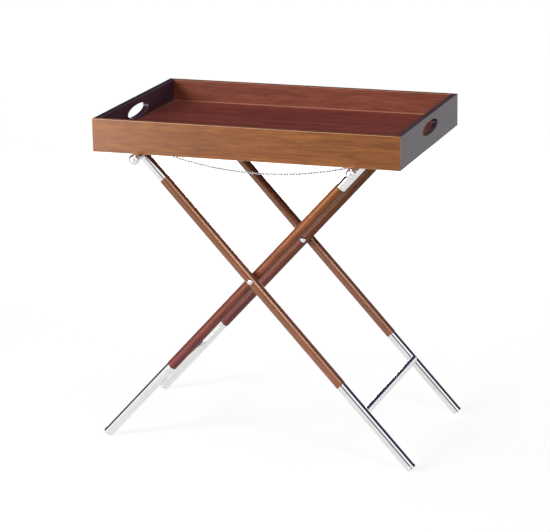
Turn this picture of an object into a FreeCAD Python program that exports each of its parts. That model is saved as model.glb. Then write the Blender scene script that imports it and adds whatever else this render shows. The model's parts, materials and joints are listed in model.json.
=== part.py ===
import FreeCAD, Part
import math
import os

# Butler's tray table: a loose tray with hand holes on a folding stand of two crossed frames.
# Millimetres and degrees, +X to the right, +Y to the back, +Z up, origin on the floor under the pivots.

# Tray walls
tray_width = 762.0
tray_depth = 508.0
wall_height = 80.0
wall_thickness = 15.0
wall_edge_round = 1.2

# Tray floor, a panel with a tongue all round that slides in grooves in the walls
floor_below_rim = 55.0
floor_thickness = 9.0
tongue_thickness = 5.0
tongue_depth = 6.0
floor_margin = 0.3
groove_clearance = 0.1

# Hand holes in the two end walls
hand_hole_length = 132.0
hand_hole_height = 31.0
hand_hole_below_rim = 31.0
hand_hole_round = 1.5

# Splines hidden in the mitred corners
spline_thickness = 3.0
spline_width = 10.0
spline_end_margin = 10.0
spline_clearance = 0.1

# Legs: wood, with plated ends that are a little thinner than the wood
leg_diameter = 25.4
leg_angle = 47.5
leg_inset = 41.0
leg_gap = 2.0
foot_reach = 588.0
rail_inset = 113.0
ferrule_length = 77.0
ferrule_round = 3.0
sleeve_length = 260.0
sleeve_step = 0.5
sleeve_wall = 1.2
glue_gap = 0.05

# Foot caps, each with a pin up the leg
cap_diameter = 25.8
cap_height = 7.0
cap_round = 1.5
cap_pin_diameter = 4.0
cap_pin_length = 14.0

# Stretchers between the sleeves, set a little to the upper side of the legs' lines
stretcher_diameter = 19.0
stretcher_from_foot = 174.0
stretcher_offset = 2.5
stretcher_tenon_diameter = 9.0
stretcher_tenon_length = 9.0

# Pivot bolts, spacing washers and cap nuts
bolt_diameter = 6.4
bolt_head_diameter = 15.0
bolt_head_height = 5.5
washer_diameter = 15.0
nut_diameter = 13.0
nut_height = 9.0
nut_dome_height = 4.0
spotface_depth = 1.0
spotface_margin = 0.4
face_clearance = 0.1
running_clearance = 0.05

# Rails, the barrels that they turn in, collars and ball finials
rail_diameter = 17.5
barrel_step = 0.3
barrel_wall = 2.8
rail_side_gap = 0.3
tray_gap = 0.3
ball_diameter = 27.0
ball_gap = 3.5
finial_neck_diameter = 12.5
finial_neck_length = 1.5
finial_thread_length = 11.0

# Check chains and the eyes that hold them on the rails, turned inwards and down from level
chain_inset = 45.6
chain_sag = 38.0
link_pitch = 7.6
link_wire = 1.8
link_inner_width = 2.2
link_play = 0.2
eye_wire = 1.6
eye_ring_diameter = 6.0
eye_shank_length = 8.0
eye_seat_gap = 0.2
eye_angle = 36.0

# A quarter turn between neighbouring links, and the links over which the chain turns at each end
link_turn = 90.0
chain_lean = 45.0
turning_links = 3

# How far a cutting tool runs past the face that it cuts, and how near counts as the same place
overrun = 2.0
same_place = 0.05

# The corners of the tray are mitred
mitre_angle = 45.0
upright = 90.0

# Radii
leg_radius = leg_diameter / 2
sleeve_radius = leg_radius - sleeve_step
tenon_radius = sleeve_radius - sleeve_wall - glue_gap
cap_radius = cap_diameter / 2
stretcher_radius = stretcher_diameter / 2
stretcher_tenon_radius = stretcher_tenon_diameter / 2
bolt_radius = bolt_diameter / 2
rail_radius = rail_diameter / 2
barrel_radius = rail_radius - barrel_step
journal_bore_radius = barrel_radius - barrel_wall
journal_radius = journal_bore_radius - running_clearance
ball_radius = ball_diameter / 2
eye_wire_radius = eye_wire / 2
eye_ring_radius = eye_ring_diameter / 2
link_wire_radius = link_wire / 2

# Places of the stand, seen from the front
sin_leg = math.sin(math.radians(leg_angle))
cos_leg = math.cos(math.radians(leg_angle))
rail_x = tray_width / 2 - rail_inset
rail_reach = rail_x / cos_leg
pivot_z = (foot_reach - cap_round) * sin_leg + (cap_radius - cap_round) * cos_leg + cap_round
rail_z = pivot_z + rail_reach * sin_leg
stretcher_reach = foot_reach - stretcher_from_foot

# Places of the stand from front to back
outer_leg_y = tray_depth / 2 - leg_inset
inner_leg_y = outer_leg_y - leg_diameter - leg_gap
barrel_half = sleeve_radius
ball_y = tray_depth / 2 + ball_gap + ball_radius
collar_end_y = ball_y - ball_radius - finial_neck_length
chain_y = inner_leg_y - chain_inset

# Places of the tray
tray_bottom = rail_z + rail_radius + tray_gap
rim_z = tray_bottom + wall_height
floor_z = rim_z - floor_below_rim
floor_underside = floor_z - floor_thickness

# Place of the chain: the far side of each eye, and the flat arc that the links hang on
eye_ring_reach = rail_radius + eye_seat_gap + eye_wire_radius + eye_ring_radius
eye_reach = eye_ring_reach + eye_ring_radius
eye_end_x = rail_x - eye_reach * math.cos(math.radians(eye_angle))
eye_end_z = rail_z - eye_reach * math.sin(math.radians(eye_angle))
chain_radius = (eye_end_x ** 2 + chain_sag ** 2) / (2 * chain_sag)
chain_half_angle = math.asin(eye_end_x / chain_radius)
chain_length = 2 * chain_radius * chain_half_angle
chain_centre_z = eye_end_z - chain_sag + chain_radius
link_count = 2 * round(chain_length / link_pitch / 2)
true_pitch = (chain_length + eye_wire) / link_count
link_inner_length = true_pitch + link_play

# Each leg: the way its top leans along X, its place along Y and the way in to the middle
legs = {
    "outer_front": (-1, -outer_leg_y, 1),
    "outer_back": (-1, outer_leg_y, -1),
    "inner_front": (1, -inner_leg_y, 1),
    "inner_back": (1, inner_leg_y, -1),
}
# Each rail: its side along X and the place of the legs that carry it
rails = {"left": (-1, outer_leg_y), "right": (1, inner_leg_y)}
# Front and back, along Y
ends = {"front": -1, "back": 1}

X_AXIS = FreeCAD.Vector(1, 0, 0)
Y_AXIS = FreeCAD.Vector(0, 1, 0)
Z_AXIS = FreeCAD.Vector(0, 0, 1)
ORIGIN = FreeCAD.Vector(0, 0, 0)


def save(shape, node):
    """Write one piece to its own file."""
    if not shape.isValid():
        raise ValueError(node + " is not a valid solid")
    shape.exportStep("parts/" + node + ".step")


def block(x_low, x_high, y_low, y_high, z_low, z_high):
    """A box between two corners."""
    return Part.makeBox(x_high - x_low, y_high - y_low, z_high - z_low, FreeCAD.Vector(x_low, y_low, z_low))


def rod_up(radius, z_low, z_high):
    """A cylinder along Z."""
    return Part.makeCylinder(radius, z_high - z_low, FreeCAD.Vector(0, 0, z_low))


def rod_back(radius, y_low, y_high, x=0, z=0):
    """A cylinder along Y."""
    return Part.makeCylinder(radius, y_high - y_low, FreeCAD.Vector(x, y_low, z), Y_AXIS)


def round_edges(shape, radius, wanted):
    """Round the edges that a test picks out."""
    return shape.makeFillet(radius, [edge for edge in shape.Edges if wanted(edge)])


def at_height(edge, z):
    """True for an edge that lies level at one height."""
    box = edge.BoundBox
    return abs(box.ZMin - z) < same_place and box.ZLength < same_place


def tray_frame():
    """The four walls in one ring, with rounded edges, hand holes and the floor's groove."""
    half_width = tray_width / 2
    half_depth = tray_depth / 2
    inner_half_width = half_width - wall_thickness
    inner_half_depth = half_depth - wall_thickness
    outside = block(-half_width, half_width, -half_depth, half_depth, tray_bottom, rim_z)
    outside = round_edges(outside, wall_edge_round, lambda edge: True)
    inside = block(-inner_half_width, inner_half_width, -inner_half_depth, inner_half_depth,
                   tray_bottom - overrun, rim_z + overrun)
    ring = outside.cut(inside)
    ring = round_edges(ring, wall_edge_round, lambda edge: at_height(edge, rim_z) and on_inner_rim(edge))
    hole = hand_hole()
    ring = ring.cut(hole)
    ring = round_edges(ring, hand_hole_round, is_hand_hole_edge)
    groove_half_width = inner_half_width + tongue_depth
    groove_half_depth = inner_half_depth + tongue_depth
    groove = block(-groove_half_width, groove_half_width, -groove_half_depth, groove_half_depth,
                   floor_underside - groove_clearance, floor_underside + tongue_thickness + groove_clearance)
    return ring.cut(groove)


def on_inner_rim(edge):
    """True for an edge on the inner outline of the walls."""
    box = edge.BoundBox
    within_x = max(abs(box.XMin), abs(box.XMax)) < tray_width / 2 - wall_thickness / 2
    within_y = max(abs(box.YMin), abs(box.YMax)) < tray_depth / 2 - wall_thickness / 2
    return within_x and within_y


def hand_hole():
    """An oval bar along X that cuts the hole in both end walls."""
    centre = FreeCAD.Vector(-tray_width, 0, rim_z - hand_hole_below_rim)
    long_end = centre + Y_AXIS * (hand_hole_length / 2)
    short_end = centre + Z_AXIS * (hand_hole_height / 2)
    outline = Part.Wire([Part.Ellipse(long_end, short_end, centre).toShape()])
    return Part.Face(outline).extrude(X_AXIS * (2 * tray_width))


def is_hand_hole_edge(edge):
    """True for the oval edges of the hand holes."""
    box = edge.BoundBox
    flat = box.XLength < same_place
    long_enough = abs(box.YLength - hand_hole_length) < wall_edge_round
    high_enough = abs(box.ZLength - hand_hole_height) < wall_edge_round
    return flat and long_enough and high_enough


def mitre_wedge(side):
    """The half of the plan that one wall keeps: a triangle out to one side, as tall as the walls."""
    reach = tray_width + tray_depth
    inset = (tray_width - tray_depth) / 2
    if side in ("left", "right"):
        sign = -1 if side == "left" else 1
        points = [(sign * inset, 0), (sign * (inset + reach), -reach), (sign * (inset + reach), reach)]
    else:
        sign = -1 if side == "front" else 1
        points = [(-inset, 0), (inset, 0), (inset + reach, sign * reach), (-inset - reach, sign * reach)]
    corners = [FreeCAD.Vector(x, y, tray_bottom - overrun) for x, y in points]
    face = Part.Face(Part.makePolygon(corners + corners[:1]))
    return face.extrude(Z_AXIS * (wall_height + 2 * overrun))


def corner_splines(clearance):
    """The four thin plates across the mitres, or with a clearance, their slots."""
    length = spline_width + 2 * clearance
    thickness = spline_thickness + 2 * clearance
    z_low = floor_z + spline_end_margin - clearance
    z_high = rim_z - spline_end_margin + clearance
    plates = []
    for x_sign in (-1, 1):
        for y_sign in (-1, 1):
            plate = block(-length / 2, length / 2, -thickness / 2, thickness / 2, z_low, z_high)
            plate.rotate(ORIGIN, Z_AXIS, -x_sign * y_sign * mitre_angle)
            middle_x = x_sign * (tray_width - wall_thickness) / 2
            middle_y = y_sign * (tray_depth - wall_thickness) / 2
            plate.translate(FreeCAD.Vector(middle_x, middle_y, 0))
            plates.append(plate)
    return Part.makeCompound(plates)


def floor_panel():
    """The floor: a raised field inside the walls and a tongue in their grooves."""
    field_half_width = tray_width / 2 - wall_thickness - floor_margin
    field_half_depth = tray_depth / 2 - wall_thickness - floor_margin
    reach = floor_margin + tongue_depth - groove_clearance
    field = block(-field_half_width, field_half_width, -field_half_depth, field_half_depth,
                  floor_underside, floor_z)
    tongue = block(-field_half_width - reach, field_half_width + reach,
                   -field_half_depth - reach, field_half_depth + reach,
                   floor_underside, floor_underside + tongue_thickness)
    return field.fuse(tongue).removeSplitter()


def stand_leg(shape, leg):
    """Lean a piece that was made upright about the pivot, and set it in its leg's place."""
    lean, y, _ = legs[leg]
    placed = shape.copy()
    placed.rotate(ORIGIN, Y_AXIS, lean * (upright - leg_angle))
    placed.translate(FreeCAD.Vector(0, y, pivot_z))
    return placed


def stretcher_bore(leg):
    """The hole for the stretcher's tenon, from the leg's inner side."""
    lean, _, inward = legs[leg]
    radius = stretcher_tenon_radius + glue_gap
    depth_end = inward * (sleeve_radius - stretcher_tenon_length - glue_gap)
    mouth = inward * (leg_radius + overrun)
    x = -lean * stretcher_offset
    return rod_back(radius, min(depth_end, mouth), max(depth_end, mouth), x, -stretcher_reach)


def wooden_leg(leg):
    """A round leg with a thinner tenon up into the ferrule and another down through the sleeve."""
    wood_top = rail_reach - ferrule_length
    wood_bottom = sleeve_length - foot_reach
    tenon_top = rail_reach - journal_bore_radius - barrel_wall - glue_gap
    tenon_bottom = cap_height - foot_reach
    body = rod_up(leg_radius, wood_bottom, wood_top)
    body = body.fuse([rod_up(tenon_radius, tenon_bottom, wood_bottom), rod_up(tenon_radius, wood_top, tenon_top)])
    spotface_radius = max(bolt_head_diameter, washer_diameter, nut_diameter) / 2 + spotface_margin
    seat = leg_radius - spotface_depth
    cuts = [
        rod_back(bolt_radius + running_clearance, -leg_radius - overrun, leg_radius + overrun),
        rod_back(spotface_radius, seat, leg_radius + overrun),
        rod_back(spotface_radius, -leg_radius - overrun, -seat),
        stretcher_bore(leg),
        rod_up(cap_pin_diameter / 2 + glue_gap, tenon_bottom - overrun,
               tenon_bottom + cap_pin_length + glue_gap),
    ]
    return body.cut(cuts)


def leg_top():
    """The plated ferrule and the cross barrel that the rail turns in."""
    wood_top = rail_reach - ferrule_length
    socket_top = rail_reach - journal_bore_radius - barrel_wall
    ferrule = rod_up(sleeve_radius, wood_top, rail_reach)
    ferrule = round_edges(ferrule, ferrule_round, lambda edge: at_height(edge, rail_reach))
    barrel = rod_back(barrel_radius, -barrel_half, barrel_half, z=rail_reach)
    bore = rod_back(journal_bore_radius, -barrel_half - overrun, barrel_half + overrun, z=rail_reach)
    socket = rod_up(tenon_radius + glue_gap, wood_top - overrun, socket_top)
    return ferrule.fuse(barrel).cut([bore, socket])


def leg_sleeve(leg):
    """The plated tube over the leg's lower end."""
    top = sleeve_length - foot_reach
    bottom = cap_height - foot_reach
    tube = rod_up(sleeve_radius, bottom, top)
    hollow = rod_up(tenon_radius + glue_gap, bottom - overrun, top + overrun)
    return tube.cut([hollow, stretcher_bore(leg)])


def foot_cap():
    """The rounded cap that closes the sleeve, with its pin up the leg."""
    top = cap_height - foot_reach
    cap = rod_up(cap_radius, -foot_reach, top)
    cap = round_edges(cap, cap_round, lambda edge: at_height(edge, -foot_reach))
    return cap.fuse(rod_up(cap_pin_diameter / 2, top, top + cap_pin_length))


def stretcher(side, leg_y):
    """A rod between two sleeves, its ends hollowed to their round and tenoned into them."""
    x = side * (stretcher_reach * cos_leg + stretcher_offset * sin_leg)
    z = pivot_z - stretcher_reach * sin_leg + stretcher_offset * cos_leg
    rod = rod_back(stretcher_radius, -leg_y, leg_y, x, z)
    frame = "outer" if side > 0 else "inner"
    for end in ends:
        saddle = rod_up(sleeve_radius + glue_gap, -foot_reach, -stretcher_reach + sleeve_length)
        rod = rod.cut(stand_leg(saddle, frame + "_" + end))
    reach = leg_y - sleeve_radius + stretcher_tenon_length
    return rod.fuse(rod_back(stretcher_tenon_radius, -reach, reach, x, z))


def pivot_bolt(front_leg_y, back_leg_y):
    """A bolt through a crossing, with a domed head at the front."""
    seat = leg_radius - spotface_depth
    head_face = front_leg_y - seat - face_clearance
    shank_end = back_leg_y + seat + face_clearance + nut_height - nut_dome_height
    dome_radius = ((bolt_head_diameter / 2) ** 2 + bolt_head_height ** 2) / (2 * bolt_head_height)
    ball = Part.makeSphere(dome_radius, FreeCAD.Vector(0, head_face + dome_radius - bolt_head_height, pivot_z))
    blank = rod_back(bolt_head_diameter / 2, head_face - bolt_head_height - overrun, head_face, z=pivot_z)
    return ball.common(blank).fuse(rod_back(bolt_radius, head_face, shank_end, z=pivot_z))


def pivot_washer(front_leg_y, back_leg_y):
    """The spacer between two crossing legs."""
    seat = leg_radius - spotface_depth - face_clearance
    y_low = front_leg_y + leg_radius - spotface_depth + face_clearance
    y_high = back_leg_y - seat - 2 * face_clearance
    disc = rod_back(washer_diameter / 2, y_low, y_high, z=pivot_z)
    return disc.cut(rod_back(bolt_radius + running_clearance, y_low - overrun, y_high + overrun, z=pivot_z))


def cap_nut(back_leg_y):
    """The domed nut on the bolt's end."""
    face = back_leg_y + leg_radius - spotface_depth + face_clearance
    shoulder = face + nut_height - nut_dome_height
    body = rod_back(nut_diameter / 2, face, shoulder, z=pivot_z)
    dome_radius = ((nut_diameter / 2) ** 2 + nut_dome_height ** 2) / (2 * nut_dome_height)
    ball = Part.makeSphere(dome_radius, FreeCAD.Vector(0, shoulder + nut_dome_height - dome_radius, pivot_z))
    dome = ball.common(rod_back(nut_diameter / 2, shoulder, face + nut_height + overrun, z=pivot_z))
    thread = rod_back(bolt_radius + running_clearance, face - overrun, shoulder + face_clearance, z=pivot_z)
    return body.fuse(dome).cut(thread)


def rail(side, leg_y):
    """A rod under the tray, turned down at both ends to run in the barrels and hold the finials."""
    x = side * rail_x
    body_half = leg_y - barrel_half - rail_side_gap
    journal_half = collar_end_y + finial_thread_length
    rod = rod_back(rail_radius, -body_half, body_half, x, rail_z)
    rod = rod.fuse(rod_back(journal_radius, -journal_half, journal_half, x, rail_z))
    for end in ends.values():
        hole = rod_up(eye_wire_radius + glue_gap, -rail_radius - overrun, eye_shank_length + glue_gap - rail_radius)
        rod = rod.cut(turn_eye(hole, side, end))
    return rod


def turn_eye(shape, side, end):
    """Turn a piece that hangs straight down to the eye's angle, and set it in the eye's place on the rail."""
    placed = shape.copy()
    placed.rotate(ORIGIN, Y_AXIS, side * (upright - eye_angle))
    placed.translate(FreeCAD.Vector(side * rail_x, end * chain_y, rail_z))
    return placed


def rail_collar(side, leg_y, end):
    """The tube on the rail's end, from the barrel to the finial."""
    x = side * rail_x
    low, high = sorted((end * (leg_y + barrel_half + rail_side_gap), end * collar_end_y))
    tube = rod_back(rail_radius, low, high, x, rail_z)
    return tube.cut(rod_back(journal_radius + glue_gap, low - overrun, high + overrun, x, rail_z))


def ball_finial(side, end):
    """A ball on a short neck, screwed on the rail's end."""
    x = side * rail_x
    ball = Part.makeSphere(ball_radius, FreeCAD.Vector(x, end * ball_y, rail_z))
    low, high = sorted((end * collar_end_y, end * ball_y))
    neck = rod_back(finial_neck_diameter / 2, low, high, x, rail_z)
    inner_end = end * (collar_end_y + finial_thread_length + glue_gap)
    mouth = end * (collar_end_y - overrun)
    thread = rod_back(journal_radius + glue_gap, min(inner_end, mouth), max(inner_end, mouth), x, rail_z)
    return ball.fuse(neck).cut(thread)


def chain_eye(side, end):
    """A ring on a shank that is screwed into the rail."""
    ring = Part.makeTorus(eye_ring_radius, eye_wire_radius, FreeCAD.Vector(0, 0, -eye_ring_reach), X_AXIS)
    shank = rod_up(eye_wire_radius, eye_ring_radius - eye_ring_reach, eye_shank_length - rail_radius)
    return turn_eye(ring.fuse(shank), side, end)


def chain_link():
    """One oval link, flat in the XZ plane about the origin, long along X."""
    bend = (link_inner_width + link_wire) / 2
    straight = link_inner_length / 2 - link_inner_width / 2
    top_left = FreeCAD.Vector(-straight, 0, bend)
    top_right = FreeCAD.Vector(straight, 0, bend)
    low_right = FreeCAD.Vector(straight, 0, -bend)
    low_left = FreeCAD.Vector(-straight, 0, -bend)
    right_tip = FreeCAD.Vector(straight + bend, 0, 0)
    left_tip = FreeCAD.Vector(-straight - bend, 0, 0)
    path = Part.Wire([
        Part.LineSegment(top_left, top_right).toShape(),
        Part.Arc(top_right, right_tip, low_right).toShape(),
        Part.LineSegment(low_right, low_left).toShape(),
        Part.Arc(low_left, left_tip, top_left).toShape(),
    ])
    section = Part.Wire([Part.makeCircle(link_wire_radius, top_left, X_AXIS)])
    return path.makePipeShell([section], True, False)


def chain_links(first, last, end):
    """The links from one number to another along the hanging arc, each a quarter turn from the last."""
    link = chain_link()
    start_share = (link_inner_length / 2 - eye_wire_radius - link_play / 2) / chain_radius
    links = []
    for number in range(first, last):
        angle = -chain_half_angle + start_share + number * true_pitch / chain_radius
        from_end = link_count - 1 - number
        lean = chain_lean * min(1, number / turning_links)
        lean += chain_lean * max(0, 1 - from_end / turning_links)
        placed = link.copy()
        placed.rotate(ORIGIN, X_AXIS, link_turn * (number % 2) + lean)
        placed.rotate(ORIGIN, Y_AXIS, -math.degrees(angle))
        x = chain_radius * math.sin(angle)
        z = chain_centre_z - chain_radius * math.cos(angle)
        placed.translate(FreeCAD.Vector(x, end * chain_y, z))
        links.append(placed)
    return Part.makeCompound(links)


os.makedirs("parts", exist_ok=True)

# Tray
frame = tray_frame().cut(corner_splines(spline_clearance))
walls = {"front": "tray_front_wall", "back": "tray_back_wall", "left": "tray_left_end", "right": "tray_right_end"}
for side, node in walls.items():
    save(frame.common(mitre_wedge(side)), node)
save(corner_splines(0), "tray_corner_splines")
save(floor_panel(), "tray_floor")

# Legs with their plated ends
for leg in legs:
    save(stand_leg(wooden_leg(leg), leg), leg + "_leg")
    save(stand_leg(leg_top(), leg), leg + "_leg_top")
    save(stand_leg(leg_sleeve(leg), leg), leg + "_sleeve")
    save(stand_leg(foot_cap(), leg), leg + "_foot_cap")
save(stretcher(1, outer_leg_y), "right_stretcher")
save(stretcher(-1, inner_leg_y), "left_stretcher")

# Pivots: at the front the outer leg is in front, at the back the inner one
crossings = {"front": (-outer_leg_y, -inner_leg_y), "back": (inner_leg_y, outer_leg_y)}
for end, (front_leg_y, back_leg_y) in crossings.items():
    save(pivot_bolt(front_leg_y, back_leg_y), end + "_pivot_bolt")
    save(pivot_washer(front_leg_y, back_leg_y), end + "_pivot_washer")
    save(cap_nut(back_leg_y), end + "_pivot_cap_nut")

# Rails with collars, finials and eyes
for side, (side_sign, leg_y) in rails.items():
    save(rail(side_sign, leg_y), side + "_rail")
    for end, end_sign in ends.items():
        save(rail_collar(side_sign, leg_y, end_sign), side + "_" + end + "_rail_collar")
        save(ball_finial(side_sign, end_sign), side + "_" + end + "_ball_finial")
        save(chain_eye(side_sign, end_sign), side + "_" + end + "_chain_eye")

# Chains, each in a left and a right half
for end, end_sign in ends.items():
    save(chain_links(0, link_count // 2, end_sign), end + "_chain_left_half")
    save(chain_links(link_count // 2, link_count, end_sign), end + "_chain_right_half")

print("pivot height", round(pivot_z, 2), "rail", round(rail_x, 2), round(rail_z, 2), "rim", round(rim_z, 2))
print("floor", round(floor_z, 2), "legs at", outer_leg_y, inner_leg_y, "balls at", ball_y)
print("chain of", link_count, "links, length", round(chain_length, 1), "held at", round(eye_end_x, 2), round(eye_end_z, 2))
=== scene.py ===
# %% [markdown]
# # A butler's tray table
# The table is a deep wooden tray that lies loose on a folding stand of two crossed frames. The packed
# model already holds every piece at its true size and place, so this lesson only gives the pieces their
# smooth turned surfaces, their stained wood and their bright plating, and then lights them.

# %% Load the frame
import json
import math

import bpy
from mathutils import Matrix, Vector

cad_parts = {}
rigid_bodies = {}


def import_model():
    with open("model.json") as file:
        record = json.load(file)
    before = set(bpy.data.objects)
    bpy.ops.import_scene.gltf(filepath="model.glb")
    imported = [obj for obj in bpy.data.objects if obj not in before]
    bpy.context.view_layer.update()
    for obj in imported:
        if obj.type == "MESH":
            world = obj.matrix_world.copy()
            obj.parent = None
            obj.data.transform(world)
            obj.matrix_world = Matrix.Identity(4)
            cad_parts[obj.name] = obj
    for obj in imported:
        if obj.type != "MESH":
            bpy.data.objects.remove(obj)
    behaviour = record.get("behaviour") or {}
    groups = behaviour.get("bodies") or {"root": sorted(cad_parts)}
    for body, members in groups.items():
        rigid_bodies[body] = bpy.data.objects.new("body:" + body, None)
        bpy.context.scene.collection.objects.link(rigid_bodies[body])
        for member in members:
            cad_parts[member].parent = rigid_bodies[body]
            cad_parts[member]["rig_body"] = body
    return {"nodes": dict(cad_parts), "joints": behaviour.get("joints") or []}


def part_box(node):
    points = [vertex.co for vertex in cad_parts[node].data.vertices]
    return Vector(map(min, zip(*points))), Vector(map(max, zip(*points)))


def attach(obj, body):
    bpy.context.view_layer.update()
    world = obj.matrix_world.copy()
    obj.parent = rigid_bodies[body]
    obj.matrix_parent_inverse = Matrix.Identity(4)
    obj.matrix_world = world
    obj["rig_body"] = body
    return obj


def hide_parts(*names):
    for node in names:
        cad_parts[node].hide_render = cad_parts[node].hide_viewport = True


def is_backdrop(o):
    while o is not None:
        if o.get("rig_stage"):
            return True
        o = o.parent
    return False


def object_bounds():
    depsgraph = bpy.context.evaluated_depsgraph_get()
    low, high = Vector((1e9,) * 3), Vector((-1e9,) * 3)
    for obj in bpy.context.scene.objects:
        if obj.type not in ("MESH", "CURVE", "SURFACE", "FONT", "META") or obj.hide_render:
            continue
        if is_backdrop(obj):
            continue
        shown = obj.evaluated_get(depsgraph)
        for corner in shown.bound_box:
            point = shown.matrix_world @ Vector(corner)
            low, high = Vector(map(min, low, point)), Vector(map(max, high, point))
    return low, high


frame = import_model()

cad_low, cad_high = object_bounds()
nodes = frame["nodes"]
print("pieces in the frame:", len(nodes), "size:", [round(side, 3) for side in cad_high - cad_low])

# %% [markdown]
# ## Where things are
# The stand's own joints say where its main lines run: the two pivots, the two rails and the eyes that hold
# the chains. Every leg lies on the line from the pivot to its rail, so its direction needs no measuring.

# %% Lines of the stand
places = {joint["name"]: Vector(joint["pos_m"]) for joint in frame["joints"] if "pos_m" in joint}
pivot = places["outer_fold"]
rail_line = {"left": places["left_rail_turn"], "right": places["right_rail_turn"]}
leg_line = {
    "outer": (rail_line["left"] - pivot).normalized(),
    "inner": (rail_line["right"] - pivot).normalized(),
}
UP = Vector((0, 0, 1))
ALONG_TRAY = Vector((1, 0, 0))
FRONT_TO_BACK = Vector((0, 1, 0))
LEGS = ("outer_front", "outer_back", "inner_front", "inner_back")
SIDES = ("left", "right")
ENDS = ("front", "back")


def line_of(leg):
    """The direction of a leg, from the pivot up to its rail."""
    return leg_line[leg.split("_")[0]]


def reach_along(node, start, direction):
    """How far a node reaches along a line: its near and far end, from the line's start."""
    reaches = [(vertex.co - start).dot(direction) for vertex in nodes[node].data.vertices]
    return min(reaches), max(reaches)


def middle_and_half(node, side):
    """The middle of a node along one axis, and half its size there."""
    low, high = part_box(node)
    return (low[side] + high[side]) / 2, (high[side] - low[side]) / 2


for leg in LEGS:
    print(leg, "leans", round(math.degrees(line_of(leg).angle(UP)), 1), "degrees from upright")

# %% [markdown]
# ## Small helpers for nodes
# A finish in Blender is a graph of nodes. The helpers below add a node with its settings and join two
# sockets, so that each finish further down reads as a short list of what it is made of.

# %% Node helpers
def new_finish(name):
    """An empty node material with a surface shader, ready to be joined up."""
    finish = bpy.data.materials.new(name)
    finish.use_nodes = True
    shader = finish.node_tree.nodes["Principled BSDF"]
    return finish, finish.node_tree, shader


def add_node(tree, kind, settings=None, **values):
    """Add one node, set its properties and the values of its sockets."""
    node = tree.nodes.new(kind)
    for name, value in (settings or {}).items():
        setattr(node, name, value)
    for name, value in values.items():
        node.inputs[name.replace("_", " ")].default_value = value
    return node


def tones(tree, source, stops):
    """Turn a grey pattern into colours through a ramp of (place, colour) stops."""
    stops = list(stops)
    ramp = add_node(tree, "ShaderNodeValToRGB")
    while len(ramp.color_ramp.elements) < len(stops):
        ramp.color_ramp.elements.new(0.5)
    for element, (place, colour) in zip(ramp.color_ramp.elements, stops):
        element.position = place
        element.color = (*colour, 1)
    tree.links.new(source, ramp.inputs["Fac"])
    return ramp.outputs["Color"]


def blend_tones(tree, mode, amount, under, over):
    """Lay one colour over another."""
    mix = add_node(tree, "ShaderNodeMix", {"data_type": "RGBA", "blend_type": mode})
    mix.inputs["Factor"].default_value = amount
    tree.links.new(under, mix.inputs["A"])
    tree.links.new(over, mix.inputs["B"])
    return mix.outputs["Result"]


GRAIN_ROUGHNESS = 0.55


def grain_pattern(tree, direction, cell, detail, seed):
    """Noise that is long along the grain: cell is its length and its width, in metres."""
    place = add_node(tree, "ShaderNodeTexCoord")
    turned = add_node(tree, "ShaderNodeMapping", {"vector_type": "TEXTURE"})
    turned.inputs["Location"].default_value = (seed, seed, seed)
    turned.inputs["Rotation"].default_value = ALONG_TRAY.rotation_difference(direction).to_euler()
    turned.inputs["Scale"].default_value = (cell[0], cell[1], cell[1])
    noise = add_node(tree, "ShaderNodeTexNoise", Scale=1.0, Detail=detail, Roughness=GRAIN_ROUGHNESS)
    tree.links.new(place.outputs["Object"], turned.inputs["Vector"])
    tree.links.new(turned.outputs["Vector"], noise.inputs["Vector"])
    return noise.outputs["Fac"]


# %% [markdown]
# ## Stained wood
# Tray and legs are a red-brown stained hardwood under a satin lacquer. The grain runs along each board
# and along each leg, so the pattern is stretched noise that is turned to the piece's own direction: broad
# bands and cloudy figure, fine streaks, and short dark pores that also dent the surface a little. Boards
# carry an attribute that marks their rounded edges and lightens them, partly as stain rubbed thin and partly
# as a painted highlight. A painted picture of wood would repeat and would not turn with the leg. The legs'
# colour passes from one pair of tones into another with the height: the outer legs grow lighter and pinker
# towards their feet, which paints in part of their stronger highlight there, and the inner legs grow darker
# and more purple.

# %% Stained wood finish
BAND_CELL, BAND_DETAIL, BAND_STOPS = (0.6, 0.03), 3, (0.3, 0.72)
FIGURE_CELL, FIGURE_DETAIL, FIGURE_STOPS, FIGURE_DEPTH = (0.09, 0.024), 2, (0.32, 0.66), 0.4
STREAK_CELL, STREAK_DETAIL, STREAK_STOPS, STREAK_DEPTH = (0.05, 0.0036), 3, (0.34, 0.62), 0.75
PORE_CELL, PORE_DETAIL, PORE_STOPS, PORE_DEPTH = (0.014, 0.0012), 2, (0.3, 0.42), 0.7
GREYS = (0.58, 0.5, 0.45), (1, 1, 1)
DENT_DEPTH = 0.0003
# Marked faces take a lighter tone: partly wear on rounded edges, partly a painted highlight.
EDGE_MARK, WEAR_AND_HIGHLIGHT_TONE = "edge_wear_and_highlight", (0.8, 0.46, 0.26, 1)
LACQUER_IOR, COAT_ROUGHNESS = 1.45, 0.24
CLEAR_SHINE, WARM_SHINE = (1, 1, 1, 1), (1, 0.82, 0.6, 1)
wood_low, wood_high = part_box("outer_front_sleeve")[1].z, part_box("outer_front_leg_top")[0].z


# The foot tones paint in part of the outer legs' stronger highlight near their feet.
def towards_foot(tree, upper, lower):
    """Let one colour pass into another from the upper ends of the legs down to their feet."""
    place = add_node(tree, "ShaderNodeTexCoord")
    height = add_node(tree, "ShaderNodeSeparateXYZ")
    rise = add_node(tree, "ShaderNodeMapRange", From_Min=wood_low, From_Max=wood_high)
    mix = add_node(tree, "ShaderNodeMix", {"data_type": "RGBA"})
    tree.links.new(place.outputs["Object"], height.inputs["Vector"])
    tree.links.new(height.outputs["Z"], rise.inputs["Value"])
    tree.links.new(rise.outputs["Result"], mix.inputs["Factor"])
    tree.links.new(lower, mix.inputs["A"])
    tree.links.new(upper, mix.inputs["B"])
    return mix.outputs["Result"]


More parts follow.
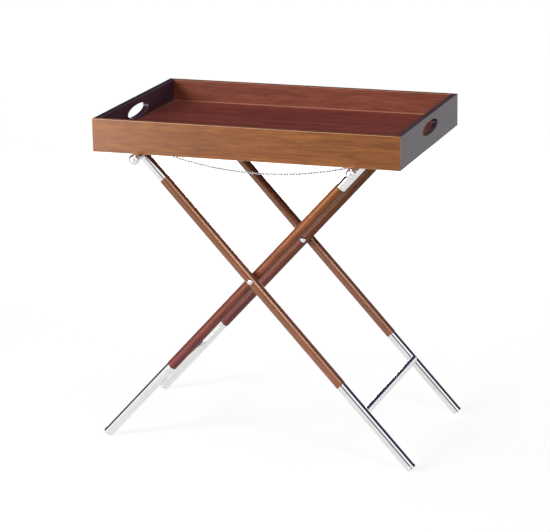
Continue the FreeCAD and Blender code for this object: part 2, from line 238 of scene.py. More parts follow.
def stained_wood(name, direction, base_tones, seed, surface, foot_wood_and_highlight=None):
    """A stained hardwood: its grain's direction, two base tones, and how its lacquer shines; the end boards'
    tones carry painted shade, and those of the back and floor a painted sheen.
    """
    finish, tree, shader = new_finish(name)
    bands = grain_pattern(tree, direction, BAND_CELL, BAND_DETAIL, seed)
    figure = grain_pattern(tree, direction, FIGURE_CELL, FIGURE_DETAIL, seed)
    streaks = grain_pattern(tree, direction, STREAK_CELL, STREAK_DETAIL, seed)
    pores = grain_pattern(tree, direction, PORE_CELL, PORE_DETAIL, seed)
    colour = tones(tree, bands, zip(BAND_STOPS, base_tones))
    if foot_wood_and_highlight:
        colour = towards_foot(tree, colour, tones(tree, bands, zip(BAND_STOPS, foot_wood_and_highlight)))
    figure_tone = tones(tree, figure, zip(FIGURE_STOPS, GREYS))
    streak_tone = tones(tree, streaks, zip(STREAK_STOPS, GREYS))
    pore_tone = tones(tree, pores, zip(PORE_STOPS, GREYS))
    colour = blend_tones(tree, "MULTIPLY", FIGURE_DEPTH, colour, figure_tone)
    colour = blend_tones(tree, "MULTIPLY", STREAK_DEPTH, colour, streak_tone)
    colour = blend_tones(tree, "MULTIPLY", PORE_DEPTH, colour, pore_tone)
    # Marked faces get the lighter tone: stain rubbed thin and a painted highlight on the edges, and a painted
    # highlight on one rim and in a line above the floor.
    worn_and_highlit = add_node(tree, "ShaderNodeMix", {"data_type": "RGBA"})
    mark = add_node(tree, "ShaderNodeAttribute", {"attribute_name": EDGE_MARK})
    tree.links.new(mark.outputs["Fac"], worn_and_highlit.inputs["Factor"])
    tree.links.new(colour, worn_and_highlit.inputs["A"])
    worn_and_highlit.inputs["B"].default_value = WEAR_AND_HIGHLIGHT_TONE
    tree.links.new(worn_and_highlit.outputs["Result"], shader.inputs["Base Color"])
    sheen = add_node(tree, "ShaderNodeMapRange", To_Min=surface["smooth"], To_Max=surface["dull"])
    tree.links.new(streaks, sheen.inputs["Value"])
    tree.links.new(sheen.outputs["Result"], shader.inputs["Roughness"])
    dents = add_node(tree, "ShaderNodeBump", Strength=surface["dents"], Distance=DENT_DEPTH)
    tree.links.new(pore_tone, dents.inputs["Height"])
    tree.links.new(dents.outputs["Normal"], shader.inputs["Normal"])
    shader.inputs["IOR"].default_value = LACQUER_IOR
    shader.inputs["Specular IOR Level"].default_value = surface["shine"]
    shader.inputs["Specular Tint"].default_value = surface.get("tint", CLEAR_SHINE)
    shader.inputs["Coat Weight"].default_value = surface["coat"]
    shader.inputs["Coat Roughness"].default_value = COAT_ROUGHNESS
    return finish


print("bare wood of the legs from", round(wood_low, 3), "to", round(wood_high, 3))

# %% Wood of the boards
# The four boards are one wood. The ends' dark bluish tones are painted shade, and the bluer, pinker tones of
# the back and floor partly paint in a sheen.
GOLDEN_STAIN = (0.285, 0.092, 0.02), (0.475, 0.172, 0.04)
BACK_WOOD_AND_PAINTED_SHEEN = (0.245, 0.062, 0.033), (0.41, 0.11, 0.059)
FLOOR_WOOD_AND_PAINTED_SHEEN = (0.27, 0.066, 0.053), (0.43, 0.112, 0.089)
END_WOOD_AND_PAINTED_SHADE = (0.036, 0.018, 0.04), (0.06, 0.031, 0.067)
FRONT_LACQUER = {"smooth": 0.26, "dull": 0.34, "dents": 0.06, "shine": 0.5, "coat": 0.0}
INNER_LACQUER = {"smooth": 0.5, "dull": 0.6, "dents": 0.06, "shine": 0.4, "coat": 0.0}
FLOOR_LACQUER = {"smooth": 0.62, "dull": 0.72, "dents": 0.06, "shine": 0.18, "coat": 0.0}
END_LACQUER = {"smooth": 0.36, "dull": 0.48, "dents": 0.06, "shine": 0.55, "coat": 0.2}
front_board = stained_wood("front_board_wood", ALONG_TRAY, GOLDEN_STAIN, seed=3.1, surface=FRONT_LACQUER)
back_board = stained_wood("back_board_wood", ALONG_TRAY, BACK_WOOD_AND_PAINTED_SHEEN, seed=4.4, surface=INNER_LACQUER)
floor_board = stained_wood("floor_board_wood", ALONG_TRAY, FLOOR_WOOD_AND_PAINTED_SHEEN, seed=6.2, surface=FLOOR_LACQUER)
end_board = stained_wood("end_board_wood", FRONT_TO_BACK, END_WOOD_AND_PAINTED_SHADE, seed=5.7, surface=END_LACQUER)
print("board finishes:", front_board.name, back_board.name, floor_board.name, end_board.name)

# %% Wood of the legs
LEG_SEED = {"outer": 8.3, "inner": 11.9}
LEG_STAIN = {
    "outer": ((0.205, 0.052, 0.01), (0.345, 0.096, 0.02)),
    "inner": ((0.26, 0.07, 0.01), (0.44, 0.132, 0.019)),
}
# Towards the feet the outer legs grow lighter and pinker, in part a painted highlight, and the inner legs
# darker and more purple.
FOOT_WOOD_AND_PAINTED_HIGHLIGHT = {
    "outer": ((0.36, 0.118, 0.06), (0.57, 0.195, 0.098)),
    "inner": ((0.225, 0.042, 0.058), (0.385, 0.081, 0.098)),
}
LEG_LACQUER = {
    "outer": {"smooth": 0.29, "dull": 0.33, "dents": 0.01, "shine": 1.0, "coat": 0.5, "tint": WARM_SHINE},
    "inner": {"smooth": 0.34, "dull": 0.4, "dents": 0.01, "shine": 0.7, "coat": 0.0, "tint": WARM_SHINE},
}
leg_wood = {}
for side, seed in LEG_SEED.items():
    leg_wood[side] = stained_wood(
        side + "_leg_wood", leg_line[side], LEG_STAIN[side], seed, LEG_LACQUER[side], FOOT_WOOD_AND_PAINTED_HIGHLIGHT[side])
    print("leg finish:", leg_wood[side].name)

# %% [markdown]
# ## Bright plating
# Ferrules, sleeves, rails, balls and chains are plated steel. A mirror with one even colour looks like
# computer metal, so slow noise changes the polish and the tint by a few parts in a hundred, as handling
# does. The stretchers are less polished, which softens what they mirror, and the chains and their eyes are
# painted greyer, a painted shade for the dark that their links mirror.

# %% Bright plating finish
SMUDGES_PER_METRE, SMUDGE_DETAIL, SMUDGE_ROUGHNESS, SMUDGE_STOPS = 26.0, 4.0, 0.6, (0.35, 0.65)
BRIGHT_TINTS = (0.86, 0.86, 0.85), (0.92, 0.92, 0.91)
# The chains' plating is painted greyer than the bright plating, a painted shade for the dark their links
# mirror.
CHAIN_GREYS_WITH_PAINTED_SHADE = (0.42, 0.42, 0.43), (0.54, 0.54, 0.54)
POLISHED, SATIN, TUMBLED = (0.03, 0.08), (0.2, 0.26), (0.06, 0.12)


def plating(name, tints, polish):
    """Polished plating with faint smudges: the two tints, and the range of its roughness."""
    finish, tree, shader = new_finish(name)
    place = add_node(tree, "ShaderNodeTexCoord")
    smudges = add_node(
        tree, "ShaderNodeTexNoise", Scale=SMUDGES_PER_METRE, Detail=SMUDGE_DETAIL, Roughness=SMUDGE_ROUGHNESS)
    tree.links.new(place.outputs["Object"], smudges.inputs["Vector"])
    colour = tones(tree, smudges.outputs["Fac"], zip(SMUDGE_STOPS, tints))
    tree.links.new(colour, shader.inputs["Base Color"])
    gloss = add_node(tree, "ShaderNodeMapRange", To_Min=polish[0], To_Max=polish[1])
    tree.links.new(smudges.outputs["Fac"], gloss.inputs["Value"])
    tree.links.new(gloss.outputs["Result"], shader.inputs["Roughness"])
    shader.inputs["Metallic"].default_value = 1.0
    return finish


chrome = plating("bright_plating", BRIGHT_TINTS, POLISHED)
satin_chrome = plating("satin_plating", BRIGHT_TINTS, SATIN)
chain_finish_painted_shade = plating("chain_metal_painted_shade", CHAIN_GREYS_WITH_PAINTED_SHADE, TUMBLED)
print("plated finishes made:", chrome.name, satin_chrome.name, chain_finish_painted_shade.name)

# %% [markdown]
# ## Helpers for making pieces
# Nearly everything on the stand is round, and a lathe is the natural tool for it: an outline is drawn from
# one point by extruding it, and spun about the axis. The finished piece is leaned into its leg's place,
# its place is applied to its mesh, and it then rides on the body of the node that it stands for. Rounded
# edges would tilt the shading of the flat faces beside them, so the broad faces are given the say there.

# %% Piece helpers
SMOOTH_ANGLE = math.radians(35)
SAME_PLACE = 1e-6
TURN_STEPS = 72
ROUND_STEPS = 5
BROAD_WEIGHT = 100


def select_only(piece):
    """Make one piece the selected and active one."""
    bpy.ops.object.select_all(action="DESELECT")
    piece.select_set(True)
    bpy.context.view_layer.objects.active = piece


def rounded(centre_radius, centre_height, radius, start, end):
    """Points of a round corner in an outline, from one angle to another in degrees."""
    points = []
    for step in range(ROUND_STEPS + 1):
        angle = math.radians(start + (end - start) * step / ROUND_STEPS)
        points.append((centre_radius + radius * math.cos(angle), centre_height + radius * math.sin(angle)))
    return points


def rod_outline(radius, low, high, low_round, high_round, rings=()):
    """Outline of a round bar with rounded ends, and extra rings where something is cut later."""
    outline = [(0, low)]
    outline += rounded(radius - low_round, low + low_round, low_round, -90, 0)
    outline += [(radius, ring) for ring in rings]
    outline += rounded(radius - high_round, high - high_round, high_round, 0, 90)
    return outline + [(0, high)]


def turn(name, outline):
    """Turn a closed piece about Z from its outline of (radius, height) points."""
    bpy.ops.object.select_all(action="DESELECT")
    bpy.ops.mesh.primitive_plane_add(size=1)
    piece = bpy.context.object
    piece.name = name
    bpy.ops.object.mode_set(mode="EDIT")
    bpy.ops.mesh.merge(type="CENTER")
    bpy.ops.transform.translate(value=(outline[0][0], 0, outline[0][1]))
    for start, end in zip(outline, outline[1:]):
        step = (end[0] - start[0], 0, end[1] - start[1])
        bpy.ops.mesh.extrude_region_move(TRANSFORM_OT_translate={"value": step})
    bpy.ops.mesh.select_all(action="SELECT")
    bpy.ops.mesh.spin(steps=TURN_STEPS, angle=math.tau, center=(0, 0, 0), axis=(0, 0, 1))
    bpy.ops.mesh.select_all(action="SELECT")
    bpy.ops.mesh.remove_doubles(threshold=SAME_PLACE)
    bpy.ops.mesh.normals_make_consistent(inside=False)
    bpy.ops.object.mode_set(mode="OBJECT")
    return piece


def put(piece, direction, place):
    """Turn an upright piece to a direction, move it to its place and apply both to its mesh."""
    select_only(piece)
    piece.rotation_euler = UP.rotation_difference(direction).to_euler()
    piece.location = place
    bpy.ops.object.transform_apply(location=True, rotation=True, scale=True)
    return piece


def keep_flat(piece):
    """Let a piece's broad faces rule the shading at their edges, so that they look flat and straight."""
    select_only(piece)
    modifier = piece.modifiers.new("broad_faces", "WEIGHTED_NORMAL")
    modifier.weight = BROAD_WEIGHT
    modifier.keep_sharp = True
    bpy.ops.object.modifier_apply(modifier=modifier.name)


def settle(piece, node, finish):
    """Smooth a piece, give it its finish and let it stand for its node."""
    select_only(piece)
    bpy.ops.object.shade_smooth_by_angle(angle=SMOOTH_ANGLE)
    keep_flat(piece)
    piece.data.materials.clear()
    piece.data.materials.append(finish)
    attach(piece, nodes[node]["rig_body"])
    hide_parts(node)
    return piece


def smooth_copy(node, finish):
    """A copy of a node with its loose triangles merged, so that its round faces shade smoothly."""
    piece = bpy.data.objects.new("smooth_" + node, nodes[node].data.copy())
    bpy.context.scene.collection.objects.link(piece)
    select_only(piece)
    bpy.ops.object.mode_set(mode="EDIT")
    bpy.ops.mesh.select_all(action="SELECT")
    bpy.ops.mesh.remove_doubles(threshold=SAME_PLACE)
    bpy.ops.object.mode_set(mode="OBJECT")
    return settle(piece, node, finish)


def combine(piece, other, operation):
    """Join a second piece to the first, or cut it away, and remove it."""
    select_only(piece)
    modifier = piece.modifiers.new("combine", "BOOLEAN")
    modifier.operation = operation
    modifier.object = other
    bpy.ops.object.modifier_apply(modifier=modifier.name)
    bpy.data.objects.remove(other)
    return piece


# %% [markdown]
# ## The tray
# Four boards are mitred at the corners, with softened edges and an oval hand hole in each end, and the
# floor lies in grooves. Their solids already have those shapes, so smoothed copies are enough; the
# long boards and the floor have their grain along the tray and the end boards across it. A thin strip is
# cut and marked in the corner between the walls and the floor, where a painted highlight draws a pale
# line. The right end's rim is marked too, with a painted highlight that makes it a little lighter and
# browner than its sides.

# %% Tray boards
TRAY_WOOD = {
    "tray_front_wall": front_board,
    "tray_back_wall": back_board,
    "tray_floor": floor_board,
    "tray_left_end": end_board,
    "tray_right_end": end_board,
    "tray_corner_splines": end_board,
}
ACROSS = {"tray_front_wall": 1, "tray_back_wall": 1, "tray_left_end": 0, "tray_right_end": 0}
# How much each board's rounded edges are lightened, partly wear and partly a painted highlight, most on the
# lit front board.
WEAR_AND_HIGHLIGHT_AMOUNT = {"tray_front_wall": 1.0, "tray_back_wall": 0.5, "tray_left_end": 0.15, "tray_right_end": 0.15}
# The right end's rim top gets a painted highlight, a little lighter and browner.
PAINTED_RIM_HIGHLIGHT = {"tray_right_end": 0.1}
EDGE_LOW, EDGE_HIGH = 0.15, 0.97
# A painted highlight line on the walls' insides, just above the floor.
LINE_HEIGHT, PAINTED_LINE_HIGHLIGHT = 0.003, 0.3
floor_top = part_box("tray_floor")[1].z


def cut_level(board, height):
    """Cut a board's faces along a level line, so that a narrow strip of them can be marked."""
    select_only(board)
    bpy.ops.object.mode_set(mode="EDIT")
    bpy.ops.mesh.select_all(action="SELECT")
    bpy.ops.mesh.bisect(plane_co=(0, 0, height), plane_no=(0, 0, 1))
    bpy.ops.object.mode_set(mode="OBJECT")


def mark_edges(board, across, worn_and_highlit, rim_highlight):
    """Mark the faces on a board's rounded edges and rim, and a narrow strip of its inside above the floor."""
    mark = board.data.attributes.new(EDGE_MARK, "FLOAT", "CORNER")
    marked = 0
    for face in board.data.polygons:
        facing = face.normal[across]
        amount = worn_and_highlit if EDGE_LOW < abs(facing) < EDGE_HIGH else 0.0
        inside = facing * face.center[across] < 0 and abs(facing) >= EDGE_HIGH
        # The strip of the inside just above the floor gets the painted highlight line.
        if inside and floor_top < face.center.z < floor_top + LINE_HEIGHT:
            amount = PAINTED_LINE_HIGHLIGHT
        # Flat rim tops take the painted rim highlight.
        if face.normal.z > EDGE_HIGH and face.center.z > floor_top + LINE_HEIGHT:
            amount = rim_highlight
        marked += amount > 0
        for corner in face.loop_indices:
            mark.data[corner].value = amount
    return marked


for node, wood in TRAY_WOOD.items():
    board = smooth_copy(node, wood)
    marked = 0
    if node in ACROSS:
        cut_level(board, floor_top)
        cut_level(board, floor_top + LINE_HEIGHT)
        marked = mark_edges(board, ACROSS[node], WEAR_AND_HIGHLIGHT_AMOUNT[node], PAINTED_RIM_HIGHLIGHT.get(node, 0.0))
    keep_flat(board)
    print(board.name, [round(side, 4) for side in board.dimensions], "marked faces:", marked)

# %% [markdown]
# ## Wooden legs
# A leg is a plain round bar. It is turned with two extra rings near its middle, so that the flat seats for
# the pivot hardware, which are cut out with small upright bars, change only the faces close to them.

# %% Wooden legs
LEG_END_ROUND = 0.0006
SEAT_RADIUS = 0.0079
SEAT_DEPTH = 0.001
RING_DISTANCE = 0.014
CUT_OVERRUN, CUT_ROUND = 0.002, 0.0001


def wooden_leg(leg):
    """The bare wood of one leg, between its plated ends."""
    middle, radius = middle_and_half(leg + "_leg", 1)
    low = reach_along(leg + "_sleeve", pivot, line_of(leg))[1]
    high = reach_along(leg + "_leg_top", pivot, line_of(leg))[0]
    rings = (-RING_DISTANCE, RING_DISTANCE)
    bar = turn("wood_" + leg, rod_outline(radius, low, high, LEG_END_ROUND, LEG_END_ROUND, rings))
    for way in (-1, 1):
        depth = SEAT_DEPTH + CUT_OVERRUN
        cutter = turn("cutter", rod_outline(SEAT_RADIUS, 0, depth, CUT_ROUND, CUT_ROUND))
        put(cutter, FRONT_TO_BACK * way, FRONT_TO_BACK * way * (radius - SEAT_DEPTH))
        combine(bar, cutter, "DIFFERENCE")
    put(bar, line_of(leg), (pivot.x, middle, pivot.z))
    return settle(bar, leg + "_leg", leg_wood[leg.split("_")[0]])


for leg in LEGS:
    print(wooden_leg(leg).name, [round(side, 4) for side in bpy.context.object.dimensions])

# %% [markdown]
# ## Plated ends of the legs
# The lower end of each leg is sheathed in a bright tube with a cap, and the upper end is a ferrule with a
# cross barrel for the rail. All are turned; the ferrule and its barrel are joined into one casting.

# %% Sleeves and foot caps
TUBE_END_ROUND = 0.0005


def plated_end(leg, part, low_round, high_round):
    """One turned plated piece on a leg, between the ends that its solid has along the leg."""
    node = leg + "_" + part
    low, high = reach_along(node, pivot, line_of(leg))
    middle, radius = middle_and_half(node, 1)
    piece = turn("plated_" + node, rod_outline(radius, low, high, low_round, high_round))
    put(piece, line_of(leg), (pivot.x, middle, pivot.z))
    return settle(piece, node, chrome)


CAP_HEIGHT = 0.007
CAP_ROUND = 0.0015
for leg in LEGS:
    sleeve = plated_end(leg, "sleeve", TUBE_END_ROUND, TUBE_END_ROUND)
    cap_low = reach_along(leg + "_foot_cap", pivot, line_of(leg))[0]
    middle, cap_radius = middle_and_half(leg + "_foot_cap", 1)
    cap_outline = rod_outline(cap_radius, cap_low, cap_low + CAP_HEIGHT, CAP_ROUND, TUBE_END_ROUND)
    cap = put(turn("plated_" + leg + "_foot_cap", cap_outline), line_of(leg), (pivot.x, middle, pivot.z))
    settle(cap, leg + "_foot_cap", chrome)
    print(sleeve.name, "and", cap.name, "reach down to", round(cap_low, 4), "along the leg")

# %% Leg tops
FERRULE_ROUND = 0.003
BARREL_STEP = 0.0003


def leg_top(leg):
    """The ferrule on a leg's upper end, joined with the barrel that the rail turns in."""
    node = leg + "_leg_top"
    side = "left" if leg.startswith("outer") else "right"
    low = reach_along(node, pivot, line_of(leg))[0]
    high = (rail_line[side] - pivot).length
    middle, radius = middle_and_half(node, 1)
    barrel_radius = middle_and_half(side + "_rail", 0)[1] - BARREL_STEP
    ferrule = turn("plated_" + node, rod_outline(radius, low, high, TUBE_END_ROUND, FERRULE_ROUND))
    barrel = turn("barrel", rod_outline(barrel_radius, -radius, radius, TUBE_END_ROUND, TUBE_END_ROUND))
    put(barrel, FRONT_TO_BACK, UP * high)
    combine(ferrule, barrel, "UNION")
    put(ferrule, line_of(leg), (pivot.x, middle, pivot.z))
    return settle(ferrule, node, chrome)


for leg in LEGS:
    print(leg_top(leg).name, [round(side, 4) for side in bpy.context.object.dimensions])

# %% [markdown]
# ## Rails, collars, balls and stretchers
# Each rail is a bright rod under the tray that runs through the leg tops. On each of its ends a collar
# leads out past the tray to a ball, which keeps the tray from sliding off to the front or the back.

# %% Rails and stretchers
ROD_END_ROUND = 0.0004


def cross_rod(node, radius, low, high, finish):
    """A plated rod from front to back in the place of a node."""
    x = middle_and_half(node, 0)[0]
    z = middle_and_half(node, 2)[0]
    rod = turn("plated_" + node, rod_outline(radius, low, high, ROD_END_ROUND, ROD_END_ROUND))
    put(rod, FRONT_TO_BACK, (x, 0, z))
    return settle(rod, node, finish)


RAIL_SIDE_GAP = 0.0003
for side, frame_name in (("left", "outer"), ("right", "inner")):
    barrel_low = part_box(frame_name + "_front_leg_top")[1].y + RAIL_SIDE_GAP
    rod = cross_rod(side + "_rail", middle_and_half(side + "_rail", 0)[1], barrel_low, -barrel_low, chrome)
    for end in ENDS:
        collar = side + "_" + end + "_rail_collar"
        low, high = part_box(collar)
        cross_rod(collar, middle_and_half(collar, 0)[1], low.y, high.y, chrome)
    print(rod.name, "runs between the leg tops,", round(-2 * barrel_low, 4), "long")
for node in ("left_stretcher", "right_stretcher"):
    low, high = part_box(node)
    print(cross_rod(node, middle_and_half(node, 0)[1], low.y, high.y, satin_chrome).name)

# %% Balls
BALL_STEPS = 40
NECK_RADIUS = 0.00625


def ball_outline(radius, neck_radius, neck_length):
    """Outline of a ball about zero on a short neck below it."""
    neck_angle = math.acos(neck_radius / radius)
    outline = [(0, -radius - neck_length), (neck_radius, -radius - neck_length)]
    for step in range(BALL_STEPS + 1):
        angle = -neck_angle + (neck_angle + math.pi / 2) * step / BALL_STEPS
        outline.append((radius * math.cos(angle), radius * math.sin(angle)))
    outline[-1] = (0, radius)
    return outline


for side in SIDES:
    for end, way in zip(ENDS, (-1, 1)):
        node = side + "_" + end + "_ball_finial"
        radius = middle_and_half(node, 2)[1]
        low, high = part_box(node)
        neck_length = (high.y - low.y) - 2 * radius
        centre_y = low.y + radius if way < 0 else high.y - radius
        ball = turn("plated_" + node, ball_outline(radius, NECK_RADIUS, neck_length))
        put(ball, FRONT_TO_BACK * way, (rail_line[side].x, centre_y, rail_line[side].z))
        settle(ball, node, chrome)
        print(ball.name, "radius", round(radius, 4), "at", round(centre_y, 4))

# %% [markdown]
# ## Pivot hardware and chain eyes
# Domed bolt heads, spacing washers, cap nuts and the small screw eyes are tiny and finely meshed, so
# smoothed copies of their solids serve well.

# %% Pivot hardware and eyes
PIVOT_PARTS = ("bolt", "washer", "cap_nut")
for end in ENDS:
    for part in PIVOT_PARTS:
        smooth_copy(end + "_pivot_" + part, chrome)
    for side in SIDES:
        smooth_copy(side + "_" + end + "_chain_eye", chain_finish_painted_shade)
print("smoothed copies of", len(ENDS) * len(PIVOT_PARTS), "pivot pieces and", len(ENDS) * len(SIDES), "eyes")

# %% [markdown]
# ## Check chains
# A light chain hangs under the tray from rail to rail and stops the stand from opening too far. One oval
# link is made from a ring by drawing its two halves apart, then copied along a flat arc, each copy a
# quarter turn from the one before. A curve with an array would also do it, but the copies can be counted
# and shared out between the two rails that carry the halves.

# %% One link
LINK_COUNT = 68
LINK_WIRE = 0.0018
LINK_INNER_WIDTH = 0.0022
LINK_PLAY = 0.0002
CHAIN_SAG = 0.038
EYE_WIRE = 0.0016
RING_STEPS, WIRE_STEPS = 16, 8
eye = places["right_chain_swing"]
arc_radius = (eye.x ** 2 + CHAIN_SAG ** 2) / (2 * CHAIN_SAG)
half_angle = math.asin(eye.x / arc_radius)
pitch = (2 * arc_radius * half_angle + EYE_WIRE) / LINK_COUNT
inner_length = pitch + LINK_PLAY


def chain_link():
    """One oval link, flat in the XZ plane, long along X."""
    bend = (LINK_INNER_WIDTH + LINK_WIRE) / 2
    bpy.ops.object.select_all(action="DESELECT")
    bpy.ops.mesh.primitive_torus_add(
        major_radius=bend, minor_radius=LINK_WIRE / 2, major_segments=RING_STEPS, minor_segments=WIRE_STEPS,
        rotation=(math.pi / 2, 0, 0))
    link = bpy.context.object
    bpy.ops.object.transform_apply(rotation=True)
    for way in (-1, 1):
        bpy.ops.object.mode_set(mode="EDIT")
        bpy.ops.mesh.select_mode(type="VERT")
        bpy.ops.mesh.select_all(action="DESELECT")
        bpy.ops.object.mode_set(mode="OBJECT")
        for vertex in link.data.vertices:
            vertex.select = vertex.co.x * way > SAME_PLACE
        bpy.ops.object.mode_set(mode="EDIT")
        bpy.ops.transform.translate(value=(way * (inner_length - LINK_INNER_WIDTH) / 2, 0, 0))
        bpy.ops.object.mode_set(mode="OBJECT")
    return link


link = chain_link()
print("one link:", [round(side * 1000, 2) for side in link.dimensions], "mm, pitch", round(pitch * 1000, 3))

# %% Two chains of links
QUARTER_TURN = 90
CHAIN_LEAN = 45
CHAIN_TWIST = 14
TURNING_LINKS = 3


def link_place(number, y):
    """Where one link hangs and how it is turned."""
    first = (inner_length - EYE_WIRE - LINK_PLAY) / 2
    angle = -half_angle + (first + number * pitch) / arc_radius
    lean = CHAIN_LEAN * min(1, number / TURNING_LINKS)
    lean += CHAIN_LEAN * max(0, 1 - (LINK_COUNT - 1 - number) / TURNING_LINKS)
    twist = math.radians(QUARTER_TURN * (number % 2) + lean + CHAIN_TWIST)
    place = Vector((arc_radius * math.sin(angle), y, eye.z - CHAIN_SAG + arc_radius * (1 - math.cos(angle))))
    return Matrix.Translation(place) @ Matrix.Rotation(-angle, 4, "Y") @ Matrix.Rotation(twist, 4, "X")


def chain_half(end, side):
    """One half of a chain: its links copied to their places and joined."""
    node = end + "_chain_" + side + "_half"
    y = middle_and_half(side + "_" + end + "_chain_eye", 1)[0]
    start = 0 if side == "left" else LINK_COUNT // 2
    bpy.ops.object.select_all(action="DESELECT")
    for number in range(start, start + LINK_COUNT // 2):
        copy = bpy.data.objects.new("links_" + node, link.data.copy())
        bpy.context.scene.collection.objects.link(copy)
        copy.matrix_world = link_place(number, y)
        copy.select_set(True)
        bpy.context.view_layer.objects.active = copy
    bpy.ops.object.join()
    bpy.ops.object.transform_apply(location=True, rotation=True, scale=True)
    return settle(bpy.context.object, node, chain_finish_painted_shade)


for end in ENDS:
    for side in SIDES:
        half = chain_half(end, side)
        low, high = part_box(end + "_chain_" + side + "_half")
        own = [half.matrix_world @ Vector(corner) for corner in half.bound_box]
        print(half.name, "lowest", round(min(c.z for c in own), 4), "solid lowest", round(low.z, 4))
bpy.data.objects.remove(link)

# %% [markdown]
# ## Floor, light and camera
# The table stands on a pale studio floor that runs out to white. A soft lamp from the front left lights the
# front boards and leaves the inner left wall in shade, and a low card beside it lifts the front's left part.
# A lamp from the right draws the bright streak along the legs, a faint one above lights the tray's floor, and
# one behind lights the far sides of the legs. Rays that only look at the background or mirror it see a plain
# white room. Bright plating in an all-white room has no outline, so the mirrored room also has a dark blue
# cloth behind the table and a narrow dark gap in front of it, as a photographer would hang dark cloths there.

# %% Helpers for light
def background_ray(tree):
    """1 for rays that come from the camera, a mirror or glass, 0 for the light on the object."""
    path = add_node(tree, "ShaderNodeLightPath")
    either = add_node(tree, "ShaderNodeMath", {"operation": "MAXIMUM"})
    seen = add_node(tree, "ShaderNodeMath", {"operation": "MAXIMUM"})
    tree.links.new(path.outputs["Is Camera Ray"], either.inputs[0])
    tree.links.new(path.outputs["Is Glossy Ray"], either.inputs[1])
    tree.links.new(either.outputs["Value"], seen.inputs[0])
    tree.links.new(path.outputs["Is Transmission Ray"], seen.inputs[1])
    return seen.outputs["Value"]


# %% World
WORLD_FILL = 0.06
WHITE, CLOTH = (1, 1, 1, 1), (0.013, 0.014, 0.055, 1)

world = bpy.data.worlds.new("studio")
world.use_nodes = True
bpy.context.scene.world = world
world_tree = world.node_tree
sky = world_tree.nodes["Background"]
strength = add_node(world_tree, "ShaderNodeMapRange", To_Min=WORLD_FILL, To_Max=1.0)
world_tree.links.new(background_ray(world_tree), strength.inputs["Value"])
world_tree.links.new(strength.outputs["Result"], sky.inputs["Strength"])
print("world fill", WORLD_FILL)

# %% Dark cloth in the mirrored room
SMOOTH_STEP = {"interpolation_type": "SMOOTHSTEP"}


def fade(tree, source, start, end, low=0.0, high=1.0):
    """A smooth step from a low value to a high one, while a socket goes from start to end."""
    step = add_node(
        tree, "ShaderNodeMapRange", SMOOTH_STEP, From_Min=start, From_Max=end, To_Min=low, To_Max=high)
    tree.links.new(source, step.inputs["Value"])
    return step.outputs["Result"]


def maths(tree, operation, first, second):
    """One sum on two sockets."""
    node = add_node(tree, "ShaderNodeMath", {"operation": operation})
    tree.links.new(first, node.inputs[0])
    tree.links.new(second, node.inputs[1])
    return node.outputs["Value"]


def patch(tree, fades):
    """The overlap of several smooth steps, each of a socket between two values."""
    overlap = None
    for source, start, end in fades:
        step = fade(tree, source, start, end)
        overlap = step if overlap is None else maths(tree, "MULTIPLY", overlap, step)
    return overlap


HEM_TURN, HEM_HEIGHT, HEM_SOFTNESS = (0.0, 0.16), (0.02, 0.26), (0.0, 0.04)
CLOTH_TOP, CLOTH_FRONT = (1.0, 0.94), (-0.35, -0.1)
GAP_BOTTOM, GAP_TOP, GAP_FRONT, GAP_LEFT = (0.05, 0.09), (0.35, 0.3), (-0.68, -0.78), (-0.08, 0.05)
way = add_node(world_tree, "ShaderNodeSeparateXYZ")
look = add_node(world_tree, "ShaderNodeTexCoord")
world_tree.links.new(look.outputs["Generated"], way.inputs["Vector"])
to_right, to_back, to_top = (way.outputs[axis] for axis in "XYZ")
hem = fade(world_tree, to_right, *HEM_TURN, *HEM_HEIGHT)
above_hem = maths(world_tree, "SUBTRACT", to_top, hem)
cloth = patch(world_tree, [(above_hem, *HEM_SOFTNESS), (to_top, *CLOTH_TOP), (to_back, *CLOTH_FRONT)])
gap_edges = [(to_top, *GAP_BOTTOM), (to_top, *GAP_TOP), (to_back, *GAP_FRONT), (to_right, *GAP_LEFT)]
gap = patch(world_tree, gap_edges)
dark = maths(world_tree, "MAXIMUM", cloth, gap)
path = add_node(world_tree, "ShaderNodeLightPath")
dark = maths(world_tree, "MULTIPLY", dark, path.outputs["Is Glossy Ray"])
room = add_node(world_tree, "ShaderNodeMix", {"data_type": "RGBA"})
room.inputs["A"].default_value = WHITE
room.inputs["B"].default_value = CLOTH
world_tree.links.new(dark, room.inputs["Factor"])
world_tree.links.new(room.outputs["Result"], sky.inputs["Color"])
print("dark cloth behind the table and a dark gap in front of it, in mirrors only")

# %% Floor
FLOOR_SIZE = 30.0
FLOOR_COLOUR, FLOOR_ROUGHNESS = (0.27, 0.27, 0.27, 1), 0.9
FLOOR_GLOW = [(0.0, 0.855), (0.17, 0.925), (0.33, 0.96), (0.67, 0.985), (1.0, 0.99)]
GLOW_REACH = 6.0
MIRRORED_GLOW = 0.8

bpy.ops.object.select_all(action="DESELECT")
bpy.ops.mesh.primitive_plane_add(size=FLOOR_SIZE, location=(0, 0, cad_low.z))
floor = bpy.context.object
floor.name = "studio_floor"
floor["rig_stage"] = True
floor_finish, floor_tree, floor_shader = new_finish("pale_floor")
floor_shader.inputs["Base Color"].default_value = FLOOR_COLOUR
floor_shader.inputs["Roughness"].default_value = FLOOR_ROUGHNESS
floor_shader.inputs["Specular IOR Level"].default_value = 0.0
floor_shader.inputs["Emission Color"].default_value = WHITE
spot = add_node(floor_tree, "ShaderNodeSeparateXYZ")
spot_place = add_node(floor_tree, "ShaderNodeTexCoord")
floor_tree.links.new(spot_place.outputs["Object"], spot.inputs["Vector"])
backwards = add_node(floor_tree, "ShaderNodeMapRange", From_Max=GLOW_REACH)
floor_tree.links.new(spot.outputs["Y"], backwards.inputs["Value"])
glow = tones(floor_tree, backwards.outputs["Result"], [(place, (grey,) * 3) for place, grey in FLOOR_GLOW])
floor_path = add_node(floor_tree, "ShaderNodeLightPath")
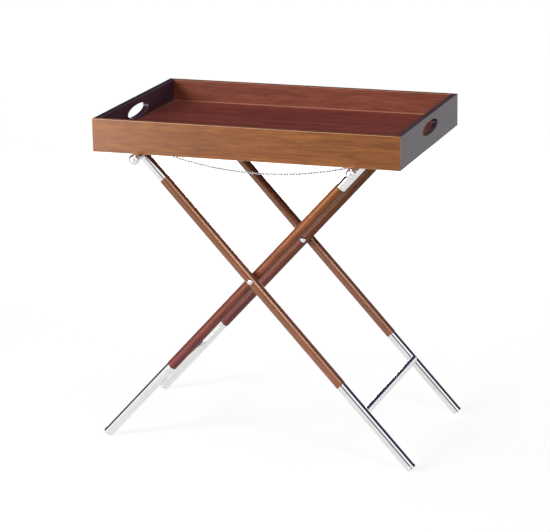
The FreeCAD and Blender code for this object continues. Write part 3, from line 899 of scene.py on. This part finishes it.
dimmer = add_node(floor_tree, "ShaderNodeMapRange", To_Min=1.0, To_Max=MIRRORED_GLOW)
floor_tree.links.new(floor_path.outputs["Is Glossy Ray"], dimmer.inputs["Value"])
glow = maths(floor_tree, "MULTIPLY", glow, dimmer.outputs["Result"])
glow = maths(floor_tree, "MULTIPLY", glow, background_ray(floor_tree))
floor_tree.links.new(glow, floor_shader.inputs["Emission Strength"])
floor.data.materials.append(floor_finish)
print("floor at", round(floor.location.z, 4))

# %% Lamps
def soft_lamp(name, target, along, place, size, power):
    """A soft lamp that points at a target, one side turned along a direction."""
    data = bpy.data.lights.new(name, "AREA")
    data.shape = "RECTANGLE"
    data.size, data.size_y = size
    data.energy = power
    lamp = bpy.data.objects.new(name, data)
    bpy.context.scene.collection.objects.link(lamp)
    back = (Vector(place) - Vector(target)).normalized()
    side = (along - back * along.dot(back)).normalized()
    turned = Matrix((side, back.cross(side), back)).transposed().to_4x4()
    lamp.matrix_world = Matrix.Translation(place) @ turned
    lamp.visible_camera = False
    return lamp


tray_middle = Vector((0, 0, cad_high.z))
LAMPS = {
    "front_left_lamp": {"place": (-1.2, -1.75, 1.46), "size": (0.8, 0.8), "power": 33},
    "low_card": {"place": (-1.83, -2.69, 0.24), "size": (0.9, 0.4), "power": 13},
    "strip_lamp": {"place": (1.8, -1.95, 2.16), "size": (0.7, 0.9), "power": 22.5},
    "top_lamp": {"place": (0.1, 0.2, 2.6), "size": (0.8, 0.8), "power": 4},
    "back_lamp": {"place": (-1.0, 3.0, 0.38), "size": (1.4, 0.5), "power": 25},
}
POINTED_AT_PIVOT = ("strip_lamp", "back_lamp")
for name, values in LAMPS.items():
    target = pivot if name in POINTED_AT_PIVOT else tray_middle
    along = leg_line["outer"] if name == "strip_lamp" else ALONG_TRAY
    lamp = soft_lamp(name, target, along, **values)
    print(lamp.name, lamp.data.energy, "W")

# %% Camera
CAMERA_PLACE = Vector((1.8105, -5.2115, 1.9825))
CAMERA_YAW = math.radians(-19.302)
CAMERA_PITCH = math.radians(15.811)
CAMERA_ROLL = math.radians(-0.878)
FOCAL_PIXELS = 2323.5
IMAGE_WIDTH = 550
SENSOR_WIDTH = 36.0

forward = Vector((math.sin(CAMERA_YAW) * math.cos(CAMERA_PITCH),
                  math.cos(CAMERA_YAW) * math.cos(CAMERA_PITCH), -math.sin(CAMERA_PITCH)))
level_right = Vector((math.cos(CAMERA_YAW), -math.sin(CAMERA_YAW), 0))
level_up = level_right.cross(forward)
right = level_right * math.cos(CAMERA_ROLL) + level_up * math.sin(CAMERA_ROLL)
above = right.cross(forward)
camera_data = bpy.data.cameras.new("photo_camera")
camera_data.sensor_width = SENSOR_WIDTH
camera_data.lens = SENSOR_WIDTH * FOCAL_PIXELS / IMAGE_WIDTH
camera = bpy.data.objects.new("photo_camera", camera_data)
bpy.context.scene.collection.objects.link(camera)
turned = Matrix((right, above, -forward)).transposed().to_4x4()
camera.matrix_world = Matrix.Translation(CAMERA_PLACE) @ turned
bpy.context.scene.camera = camera
bpy.context.scene.view_settings.view_transform = "Standard"
print("camera", round(CAMERA_PLACE.length, 2), "m away, lens", round(camera_data.lens, 1), "mm")

# %% [markdown]
# ## Size
# The box of the solids and the box of the dressed table are both printed, for comparison. The dressed
# table has to keep to the box of its solids.

# %% Finish
low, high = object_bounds()
print("solids", [round(v, 4) for v in cad_high - cad_low], "dressed", [round(v, 4) for v in high - low])
